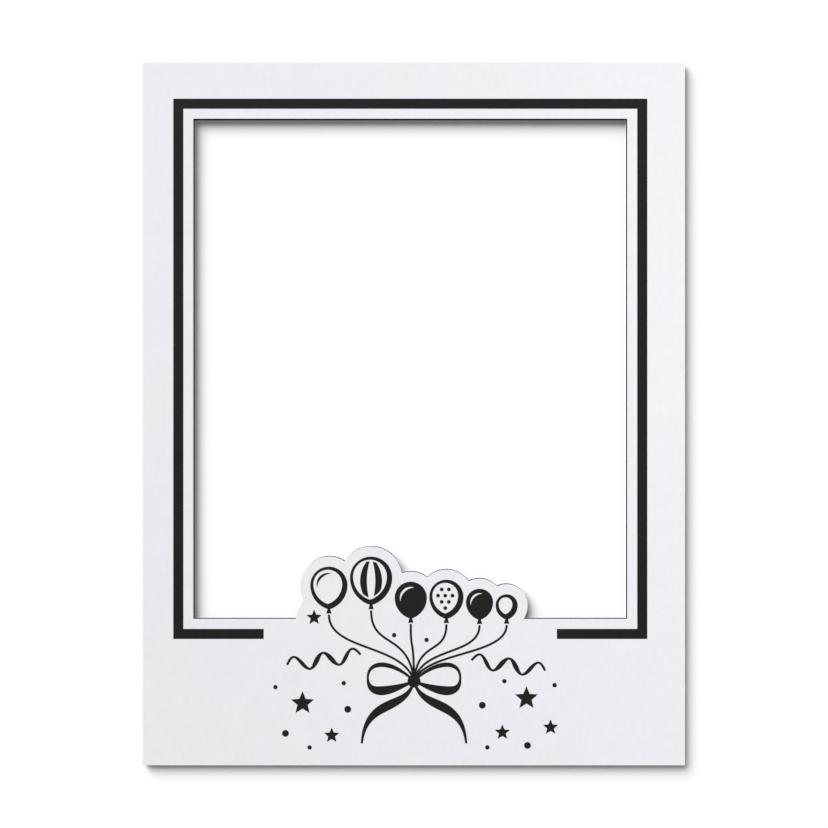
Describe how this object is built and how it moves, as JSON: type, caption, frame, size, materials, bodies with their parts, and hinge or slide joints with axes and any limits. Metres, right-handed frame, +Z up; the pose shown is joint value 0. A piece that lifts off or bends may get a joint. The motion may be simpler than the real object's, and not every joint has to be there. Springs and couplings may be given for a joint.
{
  "type": "photo booth frame",
  "caption": "Flat foam-board frame with a large window, a contour-cut tab, a black border band and cut-film balloons, held up in front of people for a picture.",
  "frame": {"origin": "middle of the lower edge, half-way through the board's thickness", "axes": "+Z up, +X to the right seen from the front, and the printed front faces -Y"},
  "size_m": [0.54, 0.0101, 0.7],
  "materials": {
    "front_paper": "matte coated white paper",
    "back_paper": "matte uncoated white paper",
    "grey_foam": "cut, very dark grey foam",
    "black_film": "satin black adhesive film"
  },
  "bodies": {
    "root": {"back_liner": "back_paper", "foam_core": "grey_foam", "front_liner": "front_paper", "border_band": "black_film", "balloon_1": "black_film", "balloon_2": "black_film", "balloon_3": "black_film", "balloon_4": "black_film", "balloon_5": "black_film", "balloon_6": "black_film", "string_bow": "black_film", "streamer_left": "black_film", "streamer_right": "black_film", "stars": "black_film", "confetti_dots": "black_film"}
  },
  "joints": []
}
